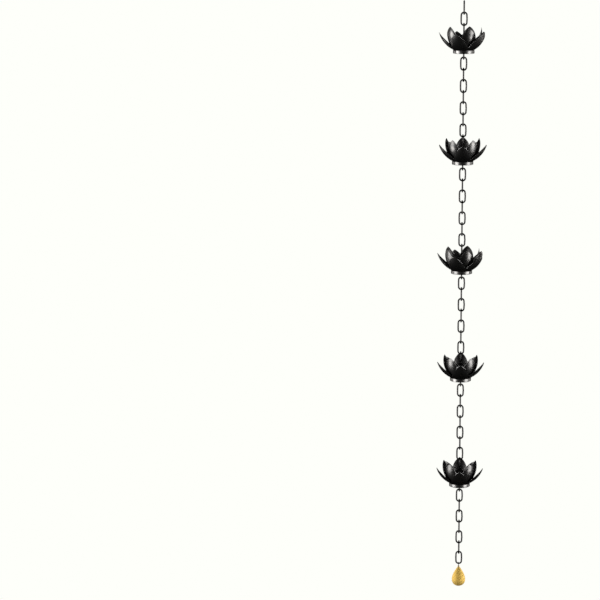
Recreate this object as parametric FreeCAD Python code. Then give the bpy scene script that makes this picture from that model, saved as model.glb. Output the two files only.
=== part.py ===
import FreeCAD, Part
import math
import os
from FreeCAD import Vector

# Lotus rain chain: five double lotus cups on a chain of bent wire links, with a teardrop weight at the bottom.
# It hangs down -Z from the origin, which is the inside of the top link. The side that faces the viewer is -Y.

# Wire and links
wire_diameter = 3.6
link_inner_length = 25.1
link_width = 16.2        # outside, across both legs
link_gap = 0.1           # between two wires that cross
joint_gap = 0.4          # the open butt joint in the middle of one leg
joint_bow = 0.5          # how far the two ends at the joint stand out from a straight leg
wire_sides = 6
bend_corners = 4         # round each end of a link

# Chain
cup_count = 5
link_count_above_cups = 4
link_count_per_cup = 10         # from one cup's own link to the next cup's
link_count_below_cups = 7
cup_turns = (-19, 0, -19, 0, 0)     # degrees, each cup as it was fixed on its link

# Collar of a cup
collar_radius = 24.2     # outside
collar_wall = 1.5
collar_height = 7.4
carrier_bar_diameter = 3.6
carrier_bar_clearance = 0.6     # below the necks of the petals

# Petals
petals_per_layer = 5
petal_flats = 4          # across a petal; the collar has as many for each petal
sheet = 1.0
neck_depth = 3.0         # how far the necks reach into the collar
neck_clearance = 0.1
layer_rise = 1.0         # of the inner layer above the outer one
petal_half_width = 18.4
petal_tip_width = 2.0
petal_dish = 47          # degrees, half of the arc across a petal at its widest
# share of the petal's length, share of its full width
petal_outline = ((0.2, 0.97), (0.45, 1.0), (0.7, 0.81), (0.88, 0.45))
outer_spine_length = 53.5
outer_spine_slopes = (24, 75)   # degrees above level, at the collar and at the tip
inner_spine_length = 56.5
inner_spine_slopes = (36, 105)

# Ring and teardrop
ring_wire = 1.4
ring_play = 3.2          # free height in the ring, between the last link and the drop
ring_corners = 12
drop_height = 49.0
drop_radius = 15.8
drop_sharpness = 1.15    # 0 would be an egg with two round ends
drop_sides = 16
drop_rows = 9
drop_hole_clearance = 0.8       # round the ring's wire
drop_neck_wall = 0.6     # beside the hole
drop_top_wall = 1.4      # above the hole
cut_margin = 1.0         # by which a cut runs past the faces that it opens

wire_radius = wire_diameter / 2
bend_radius = link_width / 2 - wire_radius
link_pitch = link_inner_length - link_gap
cup_links = [link_count_above_cups + link_count_per_cup * k for k in range(cup_count)]
link_count = cup_links[-1] + 1 + link_count_below_cups
layer_turn = 180 / petals_per_layer
sector = math.radians(layer_turn)
collar_sides = petals_per_layer * petal_flats
bore_radius = collar_radius - collar_wall
bar_below_rim = neck_depth + carrier_bar_clearance + carrier_bar_diameter / 2
neck_radius = bore_radius * math.cos(math.pi / collar_sides) - neck_clearance
drop_hole_radius = ring_wire / 2 + drop_hole_clearance
drop_hole_depth = drop_hole_radius + drop_top_wall
drop_neck_radius = drop_hole_radius + drop_neck_wall
ring_diameter = wire_diameter + ring_play + drop_hole_depth + ring_wire / 2     # at the middle of its wire


def patch(a, b, c, d):
    """The four-sided patch abcd as one flat face, or as two where it is twisted."""
    if abs((b - a).cross(c - a).dot(d - a)) < 1e-6:
        return [Part.Face(Part.makePolygon([a, b, c, d, a]))]
    return [Part.Face(Part.makePolygon([a, b, c, a])), Part.Face(Part.makePolygon([a, c, d, a]))]


def strip(first, second):
    """The patches between two open lines with the same number of points."""
    faces = []
    for i in range(len(first) - 1):
        faces += patch(first[i], first[i + 1], second[i + 1], second[i])
    return faces


def solid_of(faces):
    solid = Part.makeSolid(Part.makeShell(faces))
    if solid.Volume < 0:
        solid.reverse()
    return solid


def skin(outlines):
    """A solid through closed flat outlines that all have the same number of corners."""
    faces = []
    for below, above in zip(outlines, outlines[1:]):
        faces += strip(below + below[:1], above + above[:1])
    for end in (outlines[0], outlines[-1]):
        faces.append(Part.Face(Part.makePolygon(end + end[:1])))
    return solid_of(faces)


def bent_sheet(outside, inside):
    """A solid between two grids of points, the two sides of a sheet."""
    faces = []
    for side in (outside, inside):
        for row, next_row in zip(side, side[1:]):
            faces += strip(row, next_row)
    for end in (0, -1):
        faces += strip(outside[end], inside[end])
        faces += strip([row[end] for row in outside], [row[end] for row in inside])
    return solid_of(faces)


def bent_wire(path, diameter):
    """Wire of a given diameter along points in the XZ plane, mitred where it turns."""
    outlines = []
    for i, point in enumerate(path):
        before = (point - path[i - 1]) if i > 0 else (path[1] - path[0])
        after = (path[i + 1] - point) if i < len(path) - 1 else before
        before.normalize()
        after.normalize()
        across = Vector(before.z, 0, -before.x) + Vector(after.z, 0, -after.x)
        across.normalize()
        stretch = 1 / across.dot(Vector(before.z, 0, -before.x))
        outline = []
        for k in range(wire_sides):
            a = 2 * math.pi * k / wire_sides
            outline.append(point + across * (stretch * math.cos(a) * diameter / 2)
                           + Vector(0, math.sin(a) * diameter / 2, 0))
        outlines.append(outline)
    return skin(outlines)


def arc_corners(centre_z, radius, first, last, corners):
    """Corners of a polygon round an arc, in degrees from +X, whose sides touch the arc."""
    step = math.radians(last - first) / corners
    reach = radius / math.cos(step / 2)
    points = []
    for k in range(corners):
        a = math.radians(first) + step * (k + 0.5)
        points.append(Vector(reach * math.cos(a), 0, centre_z + reach * math.sin(a)))
    return points


def link_top(number):
    """Height of the inside of a link's top bend. Links are numbered from 0."""
    return -number * link_pitch


def make_link(number):
    """One link of the chain. Links with an even number are seen edge on from the front."""
    top_centre = wire_radius - bend_radius
    bottom_centre = top_centre - (link_inner_length + wire_diameter - 2 * bend_radius)
    middle = (top_centre + bottom_centre) / 2
    joint_x = bend_radius + joint_bow
    path = [Vector(joint_x, 0, middle + joint_gap / 2)]
    path += arc_corners(top_centre, bend_radius, 0, 180, bend_corners)
    path += arc_corners(bottom_centre, bend_radius, 180, 360, bend_corners)
    path.append(Vector(joint_x, 0, middle - joint_gap / 2))
    link = bent_wire(path, wire_diameter)
    link.rotate(Vector(), Vector(0, 0, 1), 0 if number % 2 else 90)
    link.translate(Vector(0, 0, link_top(number)))
    return link


def arc_row(radius, spread, radial, height):
    """Points across a petal that faces -Y, on a level arc whose middle is at radial."""
    row = []
    for k in range(petal_flats + 1):
        a = spread * (2 * k / petal_flats - 1)
        row.append(Vector(radius * math.sin(a), radius * (1 - math.cos(a)) - radial, height))
    return row


def spine(start_radius, length, slopes, share):
    """Radius, height above the collar and slope of a petal's back, at a share of its length."""
    first, last = (math.radians(s) for s in slopes)
    slope = first + (last - first) * share
    bend = length / (last - first)
    radius = start_radius + bend * (math.sin(slope) - math.sin(first))
    height = bend * (math.cos(first) - math.cos(slope))
    return radius, height, slope


def make_petal(base_radius, length, slopes):
    """One petal that faces -Y, with its share of the round neck below it."""
    outside = []
    inside = []
    inner_radius = base_radius - sheet
    for outer_height, inner_height in ((-neck_depth, -neck_depth), (0, sheet / 2)):
        outside.append(arc_row(base_radius, sector, base_radius, outer_height))
        inside.append(arc_row(inner_radius, sector, inner_radius, inner_height))
    spread = math.radians(petal_dish)
    for share, width in petal_outline + ((1, petal_tip_width / 2 / petal_half_width),):
        radial, height, slope = spine(base_radius, length, slopes, share)
        outside.append(arc_row(width * petal_half_width / math.sin(spread), spread, radial, height))
        step_in = Vector(0, sheet * math.sin(slope), sheet * math.cos(slope))
        inside.append([point + step_in for point in outside[-1]])
    return bent_sheet(outside, inside)


def make_layer(base_radius, length, slopes, turn):
    """Five petals and their neck, in one piece."""
    petals = []
    for k in range(petals_per_layer):
        petal = make_petal(base_radius, length, slopes)
        petal.rotate(Vector(), Vector(0, 0, 1), turn + 2 * layer_turn * k)
        petals.append(petal)
    return petals[0].multiFuse(petals[1:]).removeSplitter()


def round_outline(radius, height, sides):
    """Corners of a level polygon round the Z axis, the first one towards -Y."""
    outline = []
    for k in range(sides):
        a = 2 * math.pi * k / sides
        outline.append(Vector(radius * math.sin(a), -radius * math.cos(a), height))
    return outline


def make_collar(link, turn):
    """The open collar with its carrier bar, welded to the cup's own link over the joint in its leg."""
    outside = skin([round_outline(collar_radius, z, collar_sides) for z in (0, -collar_height)])
    bore = skin([round_outline(bore_radius, z, collar_sides) for z in (cut_margin, -collar_height - cut_margin)])
    ring = outside.cut(bore)
    ring.rotate(Vector(), Vector(0, 0, 1), turn)
    bar_end = (bore_radius + collar_radius * math.cos(math.pi / collar_sides)) / 2
    bar = bent_wire([Vector(-bar_end, 0, -bar_below_rim), Vector(bar_end, 0, -bar_below_rim)],
                    carrier_bar_diameter)
    bar.rotate(Vector(), Vector(0, 0, 1), 90)
    return ring.multiFuse([bar, link]).removeSplitter()


def make_ring():
    """The thin ring in the last link, seen edge on. It hangs as one more link would."""
    radius = ring_diameter / 2
    corners = arc_corners(ring_wire / 2 - radius, radius, 0, 360, ring_corners)
    start = (corners[0] + corners[-1]) * 0.5
    path = [start + Vector(0, 0, joint_gap / 2)] + corners + [start - Vector(0, 0, joint_gap / 2)]
    ring = bent_wire(path, ring_wire)
    ring.rotate(Vector(), Vector(0, 0, 1), 90)
    return ring


def make_drop():
    """The teardrop, its top at z = 0, with a hole across the neck for the ring."""
    half_widest = math.atan(math.sqrt(1 + drop_sharpness))
    widest = math.sin(2 * half_widest) * math.sin(half_widest) ** drop_sharpness
    outlines = []
    for k in range(drop_rows):
        a = math.pi * (k + 0.5) / drop_rows
        z = -drop_height / 2 * (1 - math.cos(a))
        radius = drop_radius * math.sin(a) * math.sin(a / 2) ** drop_sharpness / widest
        outlines.append(round_outline(max(radius, drop_neck_radius), z, drop_sides))
    for end, z in ((outlines[0], 0), (outlines[-1], -drop_height)):
        for point in end:
            point.z = z
    drop = skin(outlines)
    hole_end = drop_radius + cut_margin
    hole = bent_wire([Vector(-hole_end, 0, -drop_hole_depth), Vector(hole_end, 0, -drop_hole_depth)],
                     2 * drop_hole_radius)
    hole.rotate(Vector(), Vector(0, 0, 1), 90)
    return drop.cut(hole)


def write(shape, name):
    shape.exportStep("parts/" + name + ".step")


def main():
    os.makedirs("parts", exist_ok=True)
    inner_base = neck_radius - sheet - neck_clearance
    outer_layer = make_layer(neck_radius, outer_spine_length, outer_spine_slopes, 0)
    inner_layer = make_layer(inner_base, inner_spine_length, inner_spine_slopes, layer_turn)
    inner_layer.translate(Vector(0, 0, layer_rise))
    for number in range(link_count):
        if number not in cup_links:
            write(make_link(number), "link_%02d" % (number + 1))
    for k, number in enumerate(cup_links):
        rim = Vector(0, 0, link_top(number) - link_inner_length / 2 + bar_below_rim)
        link = make_link(number)
        link.translate(rim * -1)
        collar = make_collar(link, cup_turns[k])
        collar.translate(rim)
        write(collar, "cup_%d_collar" % (k + 1))
        layers = Part.makeCompound([outer_layer.copy(), inner_layer.copy()])
        layers.rotate(Vector(), Vector(0, 0, 1), cup_turns[k])
        layers.translate(rim)
        write(layers, "cup_%d_petals" % (k + 1))
    ring = make_ring()
    ring.translate(Vector(0, 0, link_top(link_count)))
    write(ring, "drop_ring")
    drop = make_drop()
    ring_bottom = link_top(link_count) + ring_wire / 2 - ring_diameter
    drop.translate(Vector(0, 0, ring_bottom + drop_hole_depth))
    write(drop, "teardrop")


main()
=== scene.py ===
import bpy
import math
import random
from mathutils import Matrix, Vector


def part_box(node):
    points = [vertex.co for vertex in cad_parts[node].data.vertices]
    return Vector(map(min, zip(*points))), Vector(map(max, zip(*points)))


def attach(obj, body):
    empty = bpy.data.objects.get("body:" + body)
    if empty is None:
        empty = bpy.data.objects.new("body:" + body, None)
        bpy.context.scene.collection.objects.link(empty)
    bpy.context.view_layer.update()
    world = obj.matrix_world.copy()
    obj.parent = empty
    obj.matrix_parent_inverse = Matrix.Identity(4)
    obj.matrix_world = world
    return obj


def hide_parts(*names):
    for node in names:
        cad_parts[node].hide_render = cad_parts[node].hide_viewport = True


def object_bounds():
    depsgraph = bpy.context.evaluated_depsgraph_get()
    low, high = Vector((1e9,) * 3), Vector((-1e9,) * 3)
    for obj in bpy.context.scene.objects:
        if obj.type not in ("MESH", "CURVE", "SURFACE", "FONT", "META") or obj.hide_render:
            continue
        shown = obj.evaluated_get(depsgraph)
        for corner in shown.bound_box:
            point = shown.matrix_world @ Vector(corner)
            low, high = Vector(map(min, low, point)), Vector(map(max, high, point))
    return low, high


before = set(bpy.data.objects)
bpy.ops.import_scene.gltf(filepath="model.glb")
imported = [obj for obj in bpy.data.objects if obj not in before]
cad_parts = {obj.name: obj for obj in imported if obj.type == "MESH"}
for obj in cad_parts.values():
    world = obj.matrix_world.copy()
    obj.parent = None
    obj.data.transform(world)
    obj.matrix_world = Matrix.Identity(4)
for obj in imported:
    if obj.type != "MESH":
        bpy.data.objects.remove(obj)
cad_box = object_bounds()

# The looks of a lotus rain chain: satin black petals and collars, glossy black wire and a brass teardrop.
# Each piece's place comes from its node in the frame. Lengths here are in metres.
mm = 0.001

# Wire
wire_diameter = 3.6 * mm
link_width = 16.2 * mm
joint_gap = 0.4 * mm
joint_bow = 0.5 * mm         # how far the leg with the butt joint stands out
bow_power = 1.6              # how fast that bow dies away from the joint
plain_bow = 0.2 * mm         # how far the other leg stands out
wire_sides = 18
bend_steps = 18              # round each end of a link
leg_steps = 10
end_bevel = 0.25 * mm        # at the two cut ends of a wire

# Collar and bar
collar_radius = 24.1 * mm
collar_wall = 1.5 * mm
collar_height = 7.4 * mm
collar_round = 0.4 * mm      # of its edges
collar_foot = 1.0 * mm       # of its outer lower edge
collar_steps = 128
corner_steps = 6             # round each corner of its section
bar_drop = 5.4 * mm          # from the collar's rim down to the middle of the carrier bar
bar_end_gap = 0.4 * mm
bead_size = 0.9 * mm
bead_spread = (0.85, 1.15)   # smallest and largest share of that size along a bead
bead_steps = 20
bead_sides = 8

# Petals
petals_per_layer = 5
neck_depth = 3.0 * mm
neck_rows = 3                # of points, down the neck
neck_radius = 22.3 * mm
inner_neck_radius = 21.2 * mm
layer_rise = 1.0 * mm
sheet = 0.8 * mm
petal_half_width = 18.1 * mm
petal_dish = 47              # degrees, half of the arc across a petal where it is widest
# share of the petal's length, share of its full width
petal_outline = ((0.2, 0.97), (0.45, 1.0), (0.7, 0.81), (0.88, 0.46), (1.0, 0.05))
full_dish_place = petal_outline[0][0]
widest_place = petal_outline[1][0]   # from here to the tip the sheet keeps one bend radius
tip_round = 0.03             # share of the length in which the tip rounds off
slope_spread = (-0.9, 0.3)   # degrees, how much less or more steeply a petal's tip may stand
outer_spine_length = 53.1 * mm
outer_spine_slopes = (24, 75)
inner_spine_length = 56.1 * mm
inner_spine_slopes = (36, 105)
petal_rows = 30
petal_columns = 20           # must be even
rim_steps = 4                # round the edge of the sheet
cup_turns = (-19, 0, -19, 0, 0)      # degrees, of each cup on its link
rim_wear_and_highlight_width = 0.3 * mm        # of the rubbed strip along a petal's edge, which also carries a painted highlight

# Ring and teardrop
ring_wire = 1.4 * mm
drop_radius = 15.7 * mm
drop_sharpness = 1.15
drop_hole_radius = 1.5 * mm
drop_hole_depth = 2.9 * mm
drop_hole_reach = 6.0 * mm   # of the piece that cuts the hole, to each side
drop_neck_radius = 2.1 * mm
drop_neck_round = 0.8 * mm   # height in which the top of the neck rounds off
drop_rows = 56
drop_steps = 72
hole_sides = 24
ring_sides = 14
ring_steps = 48
sharp_angle = 50             # degrees, edges sharper than this aren't shaded smooth
drop_sharp_angle = 40

# Finishes
# dark and light tone, low and high roughness, strength of the grain
wire_finish = (0.016, 0.03, 0.18, 0.28, 0.1)
collar_finish = (0.065, 0.105, 0.24, 0.34, 0.15)
petal_finish = (0.047, 0.077, 0.28, 0.38, 0.08)
patch_scale = 90.0           # of the soft patches in the black finish, per metre
tone_stops = (0.35, 0.7)     # noise values at which its dark and its light tone are reached
gloss_stops = (0.3, 0.75)    # noise values at which a finish is roughest and smoothest
light_warmth = 0.02          # of its light tone
grain_scale = 2600.0
grain_detail = 2.0
grain_depth = 0.02 * mm
glancing_tone = 0.1          # of the black finish where it is seen nearly edge on
rim_wear_and_highlight_tone = 0.14           # of the petals' edges: rubbed wear and a painted highlight along the rim
brass_dark = (0.35, 0.235, 0.057, 1.0)
brass_light = (0.38, 0.253, 0.061, 1.0)
brass_glancing = (0.2, 0.17, 0.06, 1.0)
brass_metallic = 0.3
brass_specular = 0.2
brass_roughness = (0.56, 0.62)
brass_patch_scale = 160.0
brass_mark_scale = (40.0, 40.0, 2000.0)
brass_mark_depth = 0.01 * mm
brass_mark_strength = 0.03

layer_turn = 180 / petals_per_layer  # degrees from an outer petal to the next inner one
sector = math.radians(layer_turn)    # half of the arc of the neck that a petal stands on
luck = random.Random(11)


# Materials

def new_material(name):
    material = bpy.data.materials.new(name)
    material.use_nodes = True
    nodes = material.node_tree.nodes
    return material, nodes, material.node_tree.links, nodes["Principled BSDF"]


def noise_node(nodes, links, scale, detail=4.0):
    place = nodes.new("ShaderNodeTexCoord")
    texture = nodes.new("ShaderNodeTexNoise")
    texture.inputs["Scale"].default_value = scale
    texture.inputs["Detail"].default_value = detail
    links.new(place.outputs["Object"], texture.inputs["Vector"])
    return texture


def ramp_node(nodes, links, source, places, colours):
    """A colour ramp from one colour to another, fed by a texture's value."""
    ramp = nodes.new("ShaderNodeValToRGB")
    for element, place, colour in zip(ramp.color_ramp.elements, places, colours):
        element.position = place
        element.color = colour
    links.new(source, ramp.inputs["Fac"])
    return ramp


def grey(value, warmth=0.0):
    return (value * (1 + warmth), value, value * (1 - warmth), 1.0)


def bump_node(nodes, links, shader, source, strength, depth):
    bump = nodes.new("ShaderNodeBump")
    bump.inputs["Strength"].default_value = strength
    bump.inputs["Distance"].default_value = depth
    links.new(source, bump.inputs["Height"])
    links.new(bump.outputs["Normal"], shader.inputs["Normal"])


def painted_metal(name, finish):
    """Black finish on steel: uneven tone and gloss in large soft patches, and a very fine grain."""
    dark, light, low, high, grain = finish
    material, nodes, links, shader = new_material(name)
    shader.inputs["Metallic"].default_value = 1.0
    shader.inputs["Specular Tint"].default_value = grey(glancing_tone)
    patches = noise_node(nodes, links, patch_scale)
    tones = (grey(dark), grey(light, light_warmth))
    tone = ramp_node(nodes, links, patches.outputs["Fac"], tone_stops, tones)
    links.new(tone.outputs["Color"], shader.inputs["Base Color"])
    gloss = ramp_node(nodes, links, patches.outputs["Fac"], gloss_stops, (grey(high), grey(low)))
    links.new(gloss.outputs["Color"], shader.inputs["Roughness"])
    fine = noise_node(nodes, links, grain_scale, grain_detail)
    bump_node(nodes, links, shader, fine.outputs["Fac"], grain, grain_depth)
    return material, nodes, links, shader, tone


def petal_paint():
    """The petals' finish, with a lighter tone along the edges of the sheet: partly rubbed wear, partly a
    painted highlight on the rim.
    """
    material, nodes, links, shader, tone = painted_metal("petal_black", petal_finish)
    edge = nodes.new("ShaderNodeAttribute")
    edge.attribute_name = "edge"
    mix = nodes.new("ShaderNodeMix")
    mix.data_type = "RGBA"
    # painted highlight: the lighter tone along the petals' edges stands in for light catching the rim,
    # together with rubbed wear
    mix.inputs["B"].default_value = grey(rim_wear_and_highlight_tone)
    links.new(edge.outputs["Fac"], mix.inputs["Factor"])
    links.new(tone.outputs["Color"], mix.inputs["A"])
    links.new(mix.outputs["Result"], shader.inputs["Base Color"])
    return material


def brass():
    """Dull brass, with faint turning marks round the drop."""
    material, nodes, links, shader = new_material("brass_drop")
    shader.inputs["Metallic"].default_value = brass_metallic
    shader.inputs["Specular IOR Level"].default_value = brass_specular
    shader.inputs["Specular Tint"].default_value = brass_glancing
    patches = noise_node(nodes, links, brass_patch_scale)
    tone = ramp_node(nodes, links, patches.outputs["Fac"], gloss_stops, (brass_dark, brass_light))
    links.new(tone.outputs["Color"], shader.inputs["Base Color"])
    low, high = brass_roughness
    gloss = ramp_node(nodes, links, patches.outputs["Fac"], gloss_stops, (grey(high), grey(low)))
    links.new(gloss.outputs["Color"], shader.inputs["Roughness"])
    place = nodes.new("ShaderNodeTexCoord")
    squeeze = nodes.new("ShaderNodeMapping")
    squeeze.inputs["Scale"].default_value = brass_mark_scale
    marks = nodes.new("ShaderNodeTexNoise")
    marks.inputs["Scale"].default_value = 1.0
    links.new(place.outputs["Object"], squeeze.inputs["Vector"])
    links.new(squeeze.outputs["Vector"], marks.inputs["Vector"])
    bump_node(nodes, links, shader, marks.outputs["Fac"], brass_mark_strength, brass_mark_depth)
    return material


# Meshes

def new_piece(name, points, faces, material):
    mesh = bpy.data.meshes.new(name)
    mesh.from_pydata([tuple(p) for p in points], [], faces)
    mesh.validate()
    mesh.materials.append(material)
    mesh.shade_smooth()
    mesh.set_sharp_from_angle(angle=math.radians(sharp_angle))
    piece = bpy.data.objects.new(name, mesh)
    bpy.context.scene.collection.objects.link(piece)
    return piece


def finish_piece(piece, body, node):
    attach(piece, body)
    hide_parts(node)


def joined(parts):
    """One list of points and one of faces from several such pairs. The places of the points stay in order."""
    points = []
    faces = []
    for more_points, more_faces in parts:
        start = len(points)
        points += more_points
        faces += [[start + i for i in face] for face in more_faces]
    return points, faces


def moved(part, matrix):
    points, faces = part
    return [matrix @ p for p in points], faces


def bent_wire(path, radius, sides=wire_sides):
    """Round wire along a path in the XZ plane, its cut ends slightly bevelled."""
    rings = []
    last = len(path) - 1
    for i, point in enumerate(path):
        along = (path[min(i + 1, last)] - path[max(i - 1, 0)]).normalized()
        across = Vector((along.z, 0, -along.x))
        steps = [(0.0, 0.0)]
        if i == 0:
            steps = [(0.0, end_bevel), (end_bevel, 0.0)]
        if i == last:
            steps = [(-end_bevel, 0.0), (0.0, end_bevel)]
        for forward, inset in steps:
            ring = []
            for k in range(sides):
                a = 2 * math.pi * k / sides
                out = across * math.cos(a) + Vector((0, math.sin(a), 0))
                ring.append(point + along * forward + out * (radius - inset))
            rings.append(ring)
    faces = []
    for r in range(len(rings) - 1):
        for k in range(sides):
            n = (k + 1) % sides
            faces.append([r * sides + k, r * sides + n, (r + 1) * sides + n, (r + 1) * sides + k])
    faces.append(list(range(sides - 1, -1, -1)))
    faces.append([(len(rings) - 1) * sides + k for k in range(sides)])
    return [p for ring in rings for p in ring], faces


def link_shape(height):
    """A link in the XZ plane, the middle of its height at z = 0 and its joint at +X."""
    bend = link_width / 2 - wire_diameter / 2
    half_leg = height / 2 - wire_diameter / 2 - bend
    path = []
    for k in range(leg_steps):
        share = k / leg_steps
        kink = joint_bow * (1 - share) ** bow_power
        path.append(Vector((bend + kink, 0, joint_gap / 2 + (half_leg - joint_gap / 2) * share)))
    for k in range(bend_steps + 1):
        a = math.pi * k / bend_steps
        path.append(Vector((bend * math.cos(a), 0, half_leg + bend * math.sin(a))))
    for k in range(1, 2 * leg_steps):
        share = k / leg_steps - 1
        path.append(Vector((-bend - plain_bow * (1 - share * share), 0, -half_leg * share)))
    lower = [Vector((p.x, 0, -p.z)) for p in reversed(path[:leg_steps + bend_steps + 1])]
    return bent_wire(path + lower, wire_diameter / 2)


def link_in_place(node, box=None):
    low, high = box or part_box(node)
    turn = 0 if high.x - low.x > high.y - low.y else 90
    middle = Vector((0, 0, (low.z + high.z) / 2))
    place = Matrix.Translation(middle) @ Matrix.Rotation(math.radians(turn), 4, "Z")
    return moved(link_shape(high.z - low.z), place)


def closed_faces(rings, count):
    """Faces between rings of points, where the last ring joins the first and each ring closes on itself."""
    faces = []
    for s in range(rings):
        n = (s + 1) % rings
        for k in range(count):
            m = (k + 1) % count
            faces.append([s * count + k, n * count + k, n * count + m, s * count + m])
    return faces


def turned(profile, steps):
    """A closed profile of (radius, height) points turned round the Z axis."""
    points = []
    for s in range(steps):
        a = 2 * math.pi * s / steps
        points += [Vector((r * math.sin(a), -r * math.cos(a), z)) for r, z in profile]
    return points, closed_faces(steps, len(profile))


def rounded_section(inner, outer, low, high, small, large):
    """A rectangle of (radius, height) points with a large round at its outer lower corner and small ones."""
    corners = ((outer - large, low + large, large, -90), (outer - small, high - small, small, 0),
               (inner + small, high - small, small, 90), (inner + small, low + small, small, 180))
    profile = []
    for r, z, radius, first in corners:
        for k in range(corner_steps + 1):
            a = math.radians(first + 90 * k / corner_steps)
            profile.append((r + radius * math.cos(a), z + radius * math.sin(a)))
    return profile


def weld_bead(centre, radius):
    """A slightly uneven fillet of weld round a bar that runs along Y."""
    points = []
    for s in range(bead_steps):
        a = 2 * math.pi * s / bead_steps
        size = bead_size * luck.uniform(*bead_spread)
        for k in range(bead_sides):
            b = 2 * math.pi * k / bead_sides
            r = radius + size * math.cos(b)
            points.append(centre + Vector((r * math.sin(a), size * math.sin(b), r * math.cos(a))))
    return points, closed_faces(bead_steps, bead_sides)


# Petals

def smooth_value(stops, x):
    """A smooth curve through (x, y) stops."""
    for i in range(len(stops) - 1):
        if x <= stops[i + 1][0]:
            break
    slopes = []
    for k in (i, i + 1):
        before = stops[max(k - 1, 0)]
        after = stops[min(k + 1, len(stops) - 1)]
        slopes.append((after[1] - before[1]) / (after[0] - before[0]))
    (x0, y0), (x1, y1) = stops[i], stops[i + 1]
    span = x1 - x0
    t = (x - x0) / span
    return ((2 * t ** 3 - 3 * t ** 2 + 1) * y0 + (t ** 3 - 2 * t ** 2 + t) * span * slopes[0]
            + (3 * t ** 2 - 2 * t ** 3) * y1 + (t ** 3 - t ** 2) * span * slopes[1])


def half_width(base_radius, share):
    """Half of a petal's width at a share of its length, straight across."""
    stops = ((0.0, base_radius * math.sin(sector) / petal_half_width),) + petal_outline
    width = smooth_value(stops, share) * petal_half_width
    past = (share - 1 + tip_round) / tip_round
    if past > 0:
        width *= math.sqrt(max(0.0, 1 - past * past))
    return width


def spine(base_radius, length, slopes, share):
    """How far out and how high the middle of a petal is at a share of its length, and its slope there."""
    first, last = (math.radians(s) for s in slopes)
    slope = first + (last - first) * share
    bend = length / (last - first)
    radial = base_radius + bend * (math.sin(slope) - math.sin(first))
    return radial, bend * (math.cos(first) - math.cos(slope)), slope


def petal_row(radius, spread, radial, height):
    """Points across a petal, on an arc of this radius and half angle. A wide arc has more near its ends."""
    row = []
    for k in range(petal_columns + 1):
        u = 2 * k / petal_columns - 1
        a = spread * math.sin(u * math.pi / 2) if spread > sector else spread * u
        row.append(Vector((radius * math.sin(a), radius * (1 - math.cos(a)) - radial, height)))
    return row


def petal_sides(base_radius, length, slopes):
    """The two sides of a petal that faces -Y, as rows of points from the neck to the tip."""
    inner_radius = base_radius - sheet
    heights = [-neck_depth * (1 - k / (neck_rows - 1)) for k in range(neck_rows)]
    outside = [petal_row(base_radius, sector, base_radius, h) for h in heights]
    heights[-1] = sheet / 2
    inside = [petal_row(inner_radius, sector, inner_radius, h) for h in heights]
    dish = math.radians(petal_dish)
    for k in range(1, petal_rows + 1):
        share = math.sin(k / petal_rows * math.pi / 2)
        spread = sector + (dish - sector) * min(1.0, share / full_dish_place)
        radius = half_width(base_radius, share) / math.sin(spread)
        if share > widest_place:
            radius = petal_half_width / math.sin(dish)
            spread = math.asin(half_width(base_radius, share) / radius)
        radial, height, slope = spine(base_radius, length, slopes, share)
        outside.append(petal_row(radius, spread, radial, height))
        step_in = Vector((0, sheet * math.sin(slope), sheet * math.cos(slope)))
        inside.append([p + step_in for p in outside[-1]])
    return outside, inside


def rim_loop(outside, inside, side):
    """Rounded edge of the sheet along one side of a petal: rows of points from outside to inside."""
    column = 0 if side < 0 else petal_columns
    first = neck_rows - 1
    rows = []
    for r in range(first, len(outside) - 1):
        a, b = outside[r][column], inside[r][column]
        along = outside[r + 1][column] - outside[max(r - 1, first)][column]
        across = (b - a).normalized()
        out = along.cross(across).normalized() * side
        if r == first:
            out = Vector((0, 0, 1))
        thick = (b - a).length / 2
        row = []
        for k in range(1, rim_steps):
            t = math.pi * k / rim_steps
            row.append((a + b) / 2 - across * thick * math.cos(t) + out * thick * math.sin(t))
        rows.append(row)
    return rows


def petal_mesh(base_radius, length, slopes):
    """Points and faces of one petal that faces -Y."""
    outside, inside = petal_sides(base_radius, length, slopes)
    columns = petal_columns + 1
    rows = len(outside)
    points = [p for row in outside for p in row] + [p for row in inside for p in row]
    inner = rows * columns
    faces = []
    # the two sides
    for r in range(rows - 1):
        for k in range(petal_columns):
            a = r * columns + k
            faces.append([a, a + 1, a + 1 + columns, a + columns])
            faces.append([inner + a, inner + a + columns, inner + a + 1 + columns, inner + a + 1])
    # the lower end of the neck
    for k in range(petal_columns):
        faces.append([k, inner + k, inner + k + 1, k + 1])
    # the rounded end of the tip
    tip = [(rows - 1) * columns, inner + (rows - 1) * columns]
    tip_out = (points[tip[0]] - points[tip[0] - columns]).normalized()
    tip_across = points[tip[1]] - points[tip[0]]
    tip_rim = []
    for k in range(1, rim_steps):
        t = math.pi * k / rim_steps
        points.append((points[tip[0]] + points[tip[1]]) / 2 - tip_across / 2 * math.cos(t)
                      + tip_out * tip_across.length / 2 * math.sin(t))
        tip_rim.append(len(points) - 1)
    # the rounded edges, from the neck up to the tip
    for side, column in ((-1, 0), (1, petal_columns)):
        rings = []
        for i, row in enumerate(rim_loop(outside, inside, side)):
            start = len(points)
            points += row
            r = (i + neck_rows - 1) * columns + column
            rings.append([r] + list(range(start, start + len(row))) + [inner + r])
        rings.append([tip[0]] + tip_rim + [tip[1]])
        for below, above in zip(rings, rings[1:]):
            for k in range(len(below) - 1):
                face = [below[k], below[k + 1], above[k + 1], above[k]]
                faces.append(face if side < 0 else face[::-1])
    return points, faces


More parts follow.
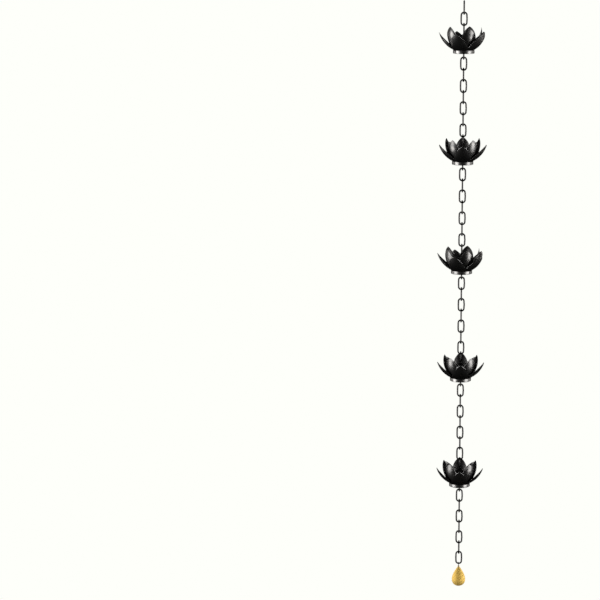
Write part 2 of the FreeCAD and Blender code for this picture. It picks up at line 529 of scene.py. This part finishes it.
def rim_wear_and_highlight_values(points):
    """How near each point of a petal is to the petal's edge: 1 on it, 0 where the rubbed strip with its
    painted highlight ends.
    """
    columns = petal_columns + 1
    rows = neck_rows + petal_rows
    grid = 2 * columns * rows
    values = []
    for i, p in enumerate(points):
        if i >= grid:
            values.append(1.0)
            continue
        first = i - i % columns
        row = i // columns % rows
        ends = [points[first], points[first + petal_columns], points[first + (rows - 1 - row) * columns]]
        near = min((p - end).length for end in ends)
        values.append(max(0.0, 1 - near / rim_wear_and_highlight_width) if row >= neck_rows else 0.0)
    return values


def merged(points, faces, values):
    """Points that lie in one place become one, so that the surface is closed."""
    index = {}
    kept = []
    kept_values = []
    new = []
    for p, value in zip(points, values):
        key = tuple(round(v / mm, 3) for v in p)
        if key not in index:
            index[key] = len(kept)
            kept.append(p)
            kept_values.append(value)
        new.append(index[key])
    closed = []
    for face in faces:
        corners = list(dict.fromkeys(new[i] for i in face))
        if len(corners) > 2:
            closed.append(corners)
    return kept, closed, kept_values


def petal_layer(name, base_radius, length, slopes, place):
    """Five petals with their common neck as one closed mesh, each petal bent a little differently."""
    parts = []
    edges = []
    for k in range(petals_per_layer):
        bent = (slopes[0], slopes[1] + luck.uniform(*slope_spread))
        points, faces = petal_mesh(base_radius, length, bent)
        edges += rim_wear_and_highlight_values(points)
        parts.append(moved((points, faces), place @ Matrix.Rotation(2 * sector * k, 4, "Z")))
    points, faces, edges = merged(*joined(parts), edges)
    piece = new_piece(name, points, faces, paint_petal)
    # where the painted rim highlight and the rubbed wear fall on the petals
    attribute = piece.data.attributes.new("edge", "FLOAT", "POINT")
    attribute.data.foreach_set("value", edges)
    return piece


# Pieces

paint_wire = painted_metal("wire_black", wire_finish)[0]
paint_collar = painted_metal("collar_black", collar_finish)[0]
paint_petal = petal_paint()
paint_brass = brass()


def make_links():
    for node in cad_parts:
        if node.startswith("link_"):
            points, faces = link_in_place(node)
            finish_piece(new_piece("round_" + node, points, faces, paint_wire), node, node)


def carried_link_box(node):
    """The box of the cup's own link, which stands edge on inside the collar's node."""
    low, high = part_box(node)
    return (Vector((-wire_diameter / 2, -link_width / 2, low.z)),
            Vector((wire_diameter / 2, link_width / 2, high.z)))


def make_cup(number):
    cup = "cup_%d" % number
    petals_node = cup + "_petals"
    collar_node = cup + "_collar"
    turn = cup_turns[number - 1]
    rim_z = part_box(petals_node)[0].z + neck_depth
    place = Matrix.Translation((0, 0, rim_z)) @ Matrix.Rotation(math.radians(turn), 4, "Z")
    layers = (("outer", neck_radius, outer_spine_length, outer_spine_slopes, 0, 0.0),
              ("inner", inner_neck_radius, inner_spine_length, inner_spine_slopes, layer_turn, layer_rise))
    for label, radius, length, slopes, layer_angle, rise in layers:
        layer_place = (place @ Matrix.Translation((0, 0, rise))
                       @ Matrix.Rotation(math.radians(layer_angle), 4, "Z"))
        piece = petal_layer("%s_%s_petals" % (cup, label), radius, length, slopes, layer_place)
        finish_piece(piece, cup, petals_node)
    section = rounded_section(collar_radius - collar_wall, collar_radius, -collar_height, 0.0,
                              collar_round, collar_foot)
    points, faces = moved(turned(section, collar_steps), place)
    finish_piece(new_piece(cup + "_band", points, faces, paint_collar), cup, collar_node)
    bar_z = rim_z - bar_drop
    reach = collar_radius - collar_wall - bar_end_gap
    bar = bent_wire([Vector((x, 0, bar_z)) for x in (-reach, -reach / 2, 0.0, reach / 2, reach)],
                    wire_diameter / 2)
    parts = [moved(bar, Matrix.Rotation(math.radians(90), 4, "Z"))]
    leg = link_width / 2 - wire_diameter / 2
    for y in (-reach, -leg - wire_diameter / 2, -leg + wire_diameter / 2,
              leg - wire_diameter / 2, leg + wire_diameter / 2, reach):
        parts.append(weld_bead(Vector((0, y, bar_z)), wire_diameter / 2))
    points, faces = joined(parts)
    finish_piece(new_piece(cup + "_bar", points, faces, paint_wire), cup, collar_node)
    points, faces = link_in_place(collar_node, carried_link_box(collar_node))
    finish_piece(new_piece(cup + "_link", points, faces, paint_wire), cup, collar_node)


def make_ring():
    low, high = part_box("drop_ring")
    radius = (high.z - low.z - ring_wire) / 2
    path = []
    gap = joint_gap / 2 / radius
    for k in range(ring_steps + 1):
        a = gap + (2 * math.pi - 2 * gap) * k / ring_steps
        path.append(Vector((radius * math.cos(a), 0, radius * math.sin(a))))
    middle = Vector((0, 0, (low.z + high.z) / 2))
    place = Matrix.Translation(middle) @ Matrix.Rotation(math.radians(90), 4, "Z")
    points, faces = moved(bent_wire(path, ring_wire / 2, ring_sides), place)
    finish_piece(new_piece("round_ring", points, faces, paint_wire), "drop_ring", "drop_ring")


def drop_shape(low, high):
    """The teardrop without its hole, turned round Z: it is a neck at the top that swells below."""
    height = high.z - low.z
    half_widest = math.atan(math.sqrt(1 + drop_sharpness))
    widest = math.sin(2 * half_widest) * math.sin(half_widest) ** drop_sharpness
    rows = []
    for k in range(1, drop_rows):
        a = math.pi * k / drop_rows
        z = -height / 2 * (1 - math.cos(a))
        radius = drop_radius * math.sin(a) * math.sin(a / 2) ** drop_sharpness / widest
        neck = drop_neck_radius * min(1.0, math.sqrt(max(0.0, -z) / drop_neck_round))
        rows.append((max(radius, neck if z > -height / 2 else 0.0), z))
    points = [Vector((0, 0, high.z))]
    for radius, z in rows:
        for s in range(drop_steps):
            a = 2 * math.pi * s / drop_steps
            points.append(Vector((radius * math.sin(a), -radius * math.cos(a), high.z + z)))
    points.append(Vector((0, 0, low.z)))
    faces = []
    for s in range(drop_steps):
        n = (s + 1) % drop_steps
        faces.append([0, 1 + s, 1 + n])
        for r in range(len(rows) - 1):
            a = 1 + r * drop_steps
            faces.append([a + s, a + drop_steps + s, a + drop_steps + n, a + n])
        a = 1 + (len(rows) - 1) * drop_steps
        faces.append([a + s, len(points) - 1, a + n])
    return points, faces


def make_drop():
    low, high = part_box("teardrop")
    points, faces = drop_shape(low, high)
    drop = new_piece("brass_teardrop", points, faces, paint_brass)
    line = [Vector((x, 0, 0)) for x in (-drop_hole_reach, 0, drop_hole_reach)]
    hole = bent_wire(line, drop_hole_radius, hole_sides)
    place = Matrix.Translation((0, 0, high.z - drop_hole_depth)) @ Matrix.Rotation(math.radians(90), 4, "Z")
    cutter = new_piece("cutter", *moved(hole, place), paint_brass)
    cut = drop.modifiers.new("hole", "BOOLEAN")
    cut.object = cutter
    cut.solver = "EXACT"
    evaluated = drop.evaluated_get(bpy.context.evaluated_depsgraph_get())
    mesh = bpy.data.meshes.new_from_object(evaluated)
    drop.modifiers.clear()
    drop.data = mesh
    bpy.data.objects.remove(cutter)
    mesh.set_sharp_from_angle(angle=math.radians(drop_sharp_angle))
    finish_piece(drop, "teardrop", "teardrop")


# Studio and camera

background = (0.991, 1.0, 0.956)
fill_light = 0.035           # strength of the dim surroundings that the finishes reflect
floor_drop = 2.6             # below the lowest point of the chain
floor_reach = 200.0          # from its middle to each side
light_colour = (1.0, 0.985, 0.96)
# name, place from the middle of the chain, width and height, watts
side_lights = (("softbox", (5.1, -1.9, -0.4), (3.6, 4.4), 630),
               ("front_fill", (3.6, -4.6, 0.5), (2.8, 5.4), 20),
               ("back_fill", (4.3, 3.0, -0.9), (2.2, 4.2), 240))
top_light_place = (0.0, 2.6, 4.2)
top_light_size = (4.0, 2.4)
top_light_power = 600
camera_distance = 5.0
camera_height = 0.23         # above the top of the chain
camera_pitch = 10.29         # degrees down
camera_yaw = 4.23            # degrees to the left, which puts the chain right of the middle
camera_roll = -0.18
focal_pixels = 2216
frame_pixels = 600
sensor_width = 36.0          # millimetres


def make_floor():
    material, nodes, links, shader = new_material("pale_floor")
    shader.inputs["Base Color"].default_value = grey(0.0)
    shader.inputs["Roughness"].default_value = 1.0
    shader.inputs["Specular IOR Level"].default_value = 0.0
    shader.inputs["Emission Color"].default_value = (*background, 1.0)
    shader.inputs["Emission Strength"].default_value = 1.0
    mesh = bpy.data.meshes.new("pale_floor")
    z = cad_box[0].z - floor_drop
    corners = [(x * floor_reach, y * floor_reach, z) for x, y in ((-1, -1), (1, -1), (1, 1), (-1, 1))]
    mesh.from_pydata(corners, [], [(0, 1, 2, 3)])
    mesh.materials.append(material)
    floor = bpy.data.objects.new("pale_floor", mesh)
    bpy.context.scene.collection.objects.link(floor)
    floor.visible_diffuse = False
    floor.visible_glossy = False


def make_light(name, place, size, power):
    """A soft rectangular light that points at the middle of the chain and isn't seen by the camera."""
    light = bpy.data.lights.new(name, "AREA")
    light.shape = "RECTANGLE"
    light.size, light.size_y = size
    light.energy = power
    light.color = light_colour
    lamp = bpy.data.objects.new(name, light)
    bpy.context.scene.collection.objects.link(lamp)
    middle = (cad_box[0] + cad_box[1]) / 2
    lamp.location = middle + Vector(place)
    lamp.rotation_mode = "QUATERNION"
    lamp.rotation_quaternion = (-Vector(place)).to_track_quat("-Z", "Y")
    lamp.visible_camera = False


def make_studio():
    world = bpy.data.worlds.new("studio")
    world.use_nodes = True
    nodes = world.node_tree.nodes
    links = world.node_tree.links
    backdrop = nodes["Background"]
    backdrop.inputs["Color"].default_value = (*background, 1.0)
    backdrop.inputs["Strength"].default_value = 1.0
    fill = nodes.new("ShaderNodeBackground")
    fill.inputs["Color"].default_value = (*background, 1.0)
    fill.inputs["Strength"].default_value = fill_light
    ray = nodes.new("ShaderNodeLightPath")
    mix = nodes.new("ShaderNodeMixShader")
    links.new(ray.outputs["Is Camera Ray"], mix.inputs["Fac"])
    links.new(fill.outputs["Background"], mix.inputs[1])
    links.new(backdrop.outputs["Background"], mix.inputs[2])
    links.new(mix.outputs["Shader"], nodes["World Output"].inputs["Surface"])
    bpy.context.scene.world = world
    bpy.context.scene.view_settings.view_transform = "Standard"
    make_floor()
    for name, (x, y, z), size, power in side_lights:
        make_light("left_" + name, (-x, y, z), size, power)
        make_light("right_" + name, (x, y, z), size, power)
    make_light("top_softbox", top_light_place, top_light_size, top_light_power)


def make_camera():
    camera = bpy.data.cameras.new("camera")
    camera.sensor_width = sensor_width
    camera.lens = sensor_width * focal_pixels / frame_pixels
    holder = bpy.data.objects.new("camera", camera)
    bpy.context.scene.collection.objects.link(holder)
    holder.location = (0, -camera_distance, camera_height)
    holder.rotation_mode = "QUATERNION"
    turn = (Matrix.Rotation(math.radians(camera_yaw), 3, "Z")
            @ Matrix.Rotation(math.radians(90 - camera_pitch), 3, "X")
            @ Matrix.Rotation(math.radians(camera_roll), 3, "Z"))
    holder.rotation_quaternion = turn.to_quaternion()
    bpy.context.scene.camera = holder


make_links()
for number in range(1, len(cup_turns) + 1):
    make_cup(number)
make_ring()
make_drop()
make_studio()
make_camera()
